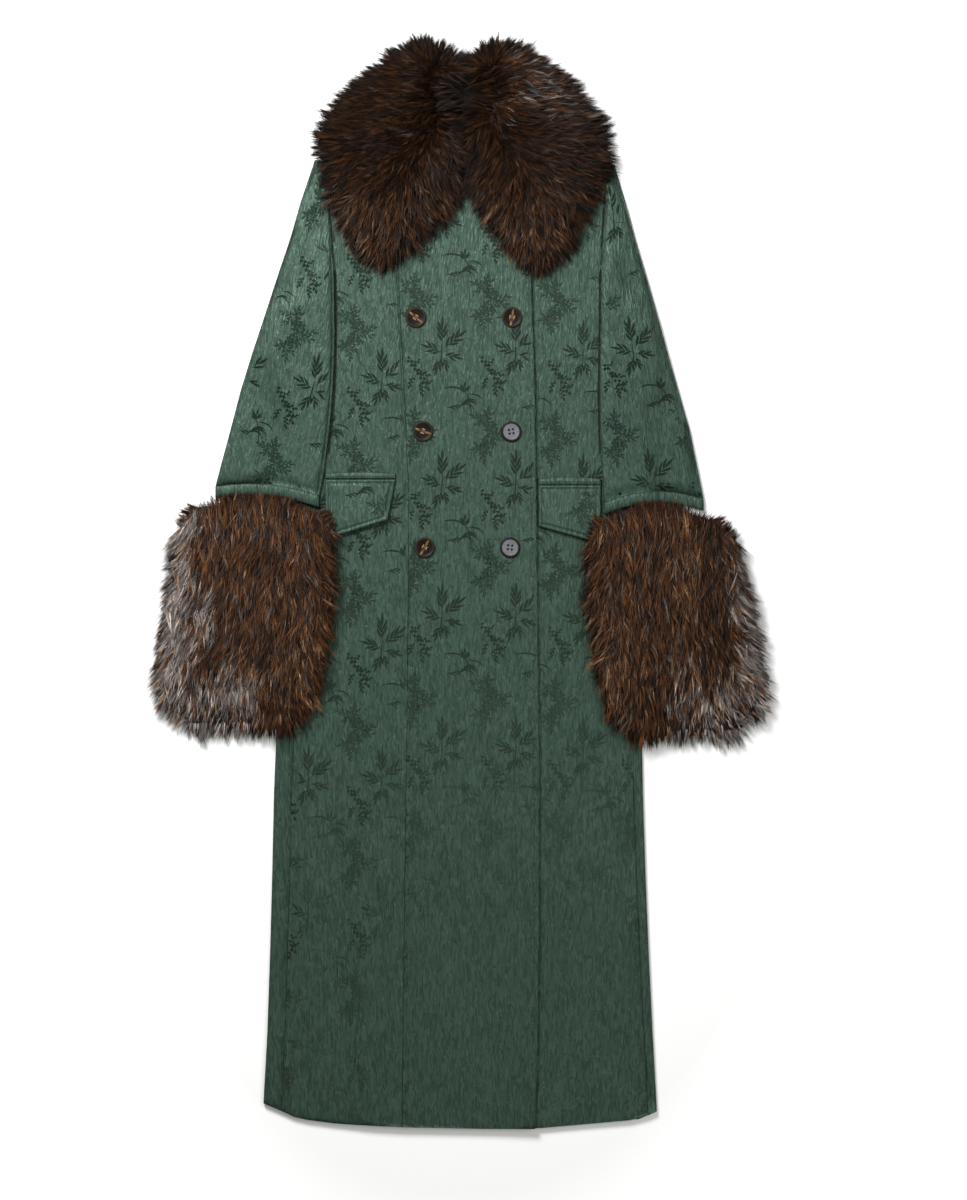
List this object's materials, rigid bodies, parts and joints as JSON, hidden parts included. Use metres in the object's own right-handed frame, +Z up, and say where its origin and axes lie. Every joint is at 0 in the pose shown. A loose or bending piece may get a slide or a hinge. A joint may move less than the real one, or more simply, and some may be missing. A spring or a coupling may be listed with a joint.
{
  "type": "long double-breasted coat with fur collar and cuffs, laid flat",
  "caption": "Long double-breasted coat in green satin jacquard with a two-lobed fur collar, deep fur cuffs, flap pockets and horn buttons, laid flat on its back.",
  "frame": {"origin": "on the floor, below the middle of the coat's outline seen from above", "axes": "+X to the wearer's left side, +Y from hem to collar, +Z up from the floor through back and fronts"},
  "size_m": [0.762, 1.3544, 0.0598],
  "materials": {
    "green_satin": "crinkled satin jacquard with tone-on-tone leaf and blossom sprigs, soft sheen",
    "stand_satin": "dark plain satin",
    "brown_fur": "long shaggy brown fur with dark roots and tan to grey tips",
    "dark_horn": "polished dark horn with tan streaks"
  },
  "bodies": {
    "root": {"back": "green_satin", "side_panel_right": "green_satin", "front_right_side": "green_satin", "front_right_centre": "green_satin", "sleeve_top_right": "green_satin", "sleeve_under_right": "green_satin", "cuff_band_right": "green_satin", "pocket_welt_right": "green_satin", "pocket_flap_right": "green_satin", "side_panel_left": "green_satin", "front_left_side": "green_satin", "front_left_centre": "green_satin", "sleeve_top_left": "green_satin", "sleeve_under_left": "green_satin", "cuff_band_left": "green_satin", "pocket_welt_left": "green_satin", "pocket_flap_left": "green_satin", "collar_stand": "stand_satin", "fur_collar_right": "brown_fur", "fur_collar_left": "brown_fur", "fur_cuff_right": "brown_fur", "fur_cuff_left": "brown_fur", "button_1": "dark_horn", "button_2": "dark_horn", "button_3": "dark_horn", "button_4": "dark_horn", "button_5": "dark_horn", "button_6": "dark_horn"}
  },
  "joints": []
}
